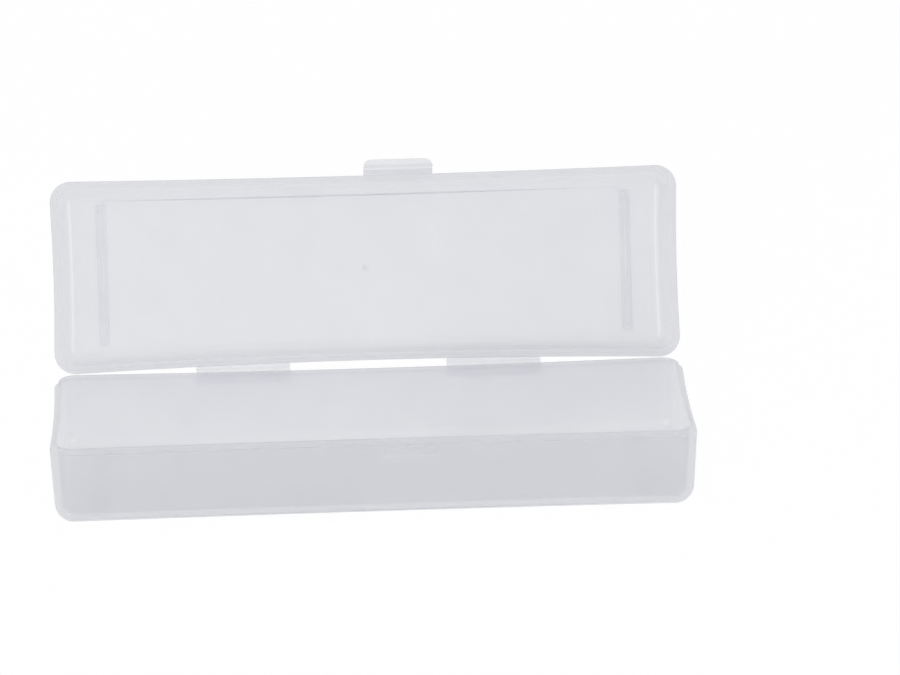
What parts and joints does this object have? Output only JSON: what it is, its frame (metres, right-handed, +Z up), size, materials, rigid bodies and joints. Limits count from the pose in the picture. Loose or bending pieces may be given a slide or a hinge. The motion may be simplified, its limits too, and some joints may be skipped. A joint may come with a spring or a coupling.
{
  "type": "harmonica case",
  "caption": "Slim rectangular case in frosted plastic: a tray and a lid joined by flexible strap hinges, closed by a snap latch on the front.",
  "frame": {"origin": "centre of the tray's flat underside, on the surface it rests on", "axes": "+X along the case, to the right as the latch faces the viewer; +Y from the latch side to the hinge side; +Z up"},
  "size_m": [0.12, 0.0615, 0.0533],
  "materials": {
    "tray_shell": "frosted, translucent",
    "lid_shell": "frosted, translucent",
    "rib": "frosted, translucent",
    "hinge_leaf": "frosted, translucent",
    "hinge_film": "smooth, translucent",
    "catch": "frosted, translucent",
    "latch": "frosted, translucent"
  },
  "bodies": {
    "tray_body": {"tray": "tray_shell", "tray_rib_left": "rib", "tray_rib_right": "rib", "latch_catch": "catch", "tray_hinge_leaf_left": "hinge_leaf", "tray_hinge_leaf_right": "hinge_leaf", "hinge_film_left": "hinge_film", "hinge_film_right": "hinge_film"},
    "lid_body": {"lid": "lid_shell", "lid_rib_left": "rib", "lid_rib_right": "rib", "lid_hinge_leaf_left": "hinge_leaf", "lid_hinge_leaf_right": "hinge_leaf", "latch_bridge": "latch"},
    "latch_body": {"latch_tab": "latch"}
  },
  "joints": [
    {"name": "lid_hinge", "type": "hinge", "parent": "tray_body", "child": "lid_body", "pos_m": [0, 0.0189, 0.01476], "axis": [-1, 0, 0], "range_deg": [-110, 70], "deforming": ["hinge_film_left", "hinge_film_right"]},
    {"name": "latch_flex", "type": "hinge", "parent": "lid_body", "child": "latch_body", "pos_m": [0.0067, 0.03295, 0.05003], "axis": [-1, 0, 0], "range_deg": [0, 12], "stiffness_Nm_per_rad": 0.05}
  ]
}
